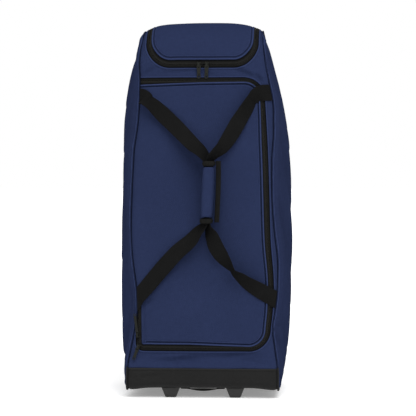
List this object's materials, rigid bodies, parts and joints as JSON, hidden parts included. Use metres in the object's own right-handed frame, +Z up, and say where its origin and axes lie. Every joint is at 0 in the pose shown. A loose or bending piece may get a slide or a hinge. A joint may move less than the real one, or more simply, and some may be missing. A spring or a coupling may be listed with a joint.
{
  "type": "wheeled bat bag",
  "caption": "Tall soft bat bag that stands on moulded feet and rear wheels, with a large zipped front flap, a zipped top flap and webbing carry straps joined by a padded grip.",
  "frame": {"origin": "on the floor, under the middle of the bag's box", "axes": "+Z up, the front with the flaps faces -Y, +X to the right of someone facing it"},
  "size_m": [0.4188, 0.4198, 0.8965],
  "materials": {
    "navy_cloth": "woven polyester, matt",
    "coated_cloth": "coated cloth, slight sheen",
    "webbing": "ribbed webbing",
    "zip_tape": "woven tape with a coil",
    "zip_metal": "gunmetal, satin",
    "moulded_plastic": "satin",
    "tyre_rubber": "matt",
    "axle_steel": "satin"
  },
  "bodies": {
    "bag": {"front_panel": "navy_cloth", "main_flap": "navy_cloth", "top_flap": "navy_cloth", "main_zip": "zip_tape", "top_zip": "zip_tape", "back_panel": "navy_cloth", "base_panel": "coated_cloth", "side_panel_left": "navy_cloth", "side_panel_right": "navy_cloth", "carry_strap_left": "webbing", "carry_strap_right": "webbing", "grip_wrap": "navy_cloth", "grip_binding_top": "webbing", "grip_binding_bottom": "webbing", "grip_edge_binding": "webbing", "top_left_slider": "zip_metal", "top_left_pull": "zip_metal", "top_right_slider": "zip_metal", "top_right_pull": "zip_metal", "main_upper_slider": "zip_metal", "main_upper_pull": "zip_metal", "main_lower_slider": "zip_metal", "main_lower_pull": "zip_metal", "foot_left": "moulded_plastic", "foot_right": "moulded_plastic", "wheel_housing_left": "moulded_plastic", "wheel_housing_right": "moulded_plastic", "axle_left": "axle_steel", "axle_right": "axle_steel", "base_handle": "webbing"},
    "wheel_left": {"wheel_hub_left": "moulded_plastic", "wheel_tyre_left": "tyre_rubber"},
    "wheel_right": {"wheel_hub_right": "moulded_plastic", "wheel_tyre_right": "tyre_rubber"}
  },
  "joints": [
    {"name": "wheel_left_roll", "type": "hinge", "parent": "bag", "child": "wheel_left", "pos_m": [-0.125, 0.1739, 0.036], "axis": [1, 0, 0], "continuous": true},
    {"name": "wheel_right_roll", "type": "hinge", "parent": "bag", "child": "wheel_right", "pos_m": [0.125, 0.1739, 0.036], "axis": [1, 0, 0], "continuous": true}
  ]
}
